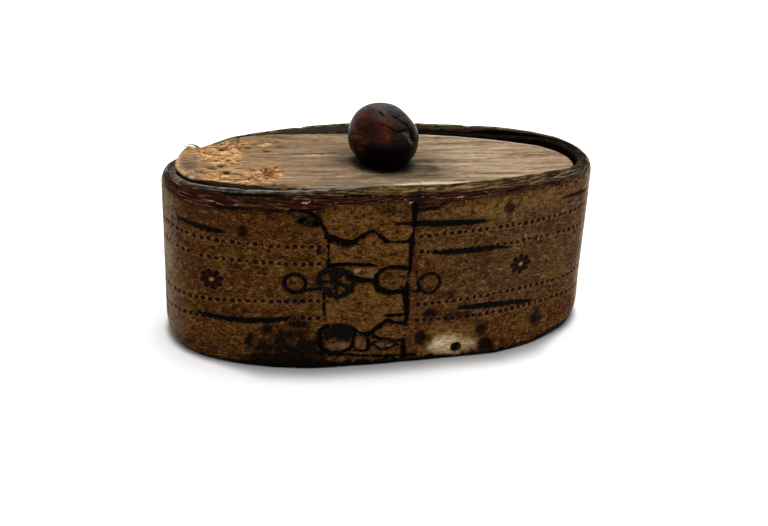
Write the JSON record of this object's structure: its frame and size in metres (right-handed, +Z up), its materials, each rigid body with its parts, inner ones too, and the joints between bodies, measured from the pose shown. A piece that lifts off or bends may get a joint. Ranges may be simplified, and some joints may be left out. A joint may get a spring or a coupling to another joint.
{
  "type": "snuff box",
  "caption": "Oval birch-bark snuff box: stamped outer bark band with a tongue lock joint, inner bark liner, pegged bottom board and a drop-in wooden lid with a round knob.",
  "frame": {"origin": "centre of the oval foot, on the surface that the box stands on", "axes": "+X along the length, -Y out of the front with the lock joint, +Z up through the lid"},
  "size_m": [0.09, 0.042, 0.0484],
  "materials": {
    "outer_bark": "worn brown birch bark with dark lenticels and stamped dots",
    "inner_bark": "matt grey-brown birch bark",
    "board_wood": "plain sawn softwood, aged",
    "peg_wood": "whittled dark wood",
    "lid_wood": "weathered grey-tan softwood with open grain",
    "knob_wood": "polished dark brown wood, handled smooth"
  },
  "bodies": {
    "box": {"outer_band": "outer_bark", "inner_band": "inner_bark", "bottom_board": "board_wood", "bottom_pegs": "peg_wood"},
    "lid": {"lid_board": "lid_wood", "knob": "knob_wood", "knob_dowel": "peg_wood"}
  },
  "joints": [
    {"name": "lid_lift", "type": "slide", "parent": "box", "child": "lid", "axis": [0, 0, 1], "range_m": [0, 0.06]}
  ]
}
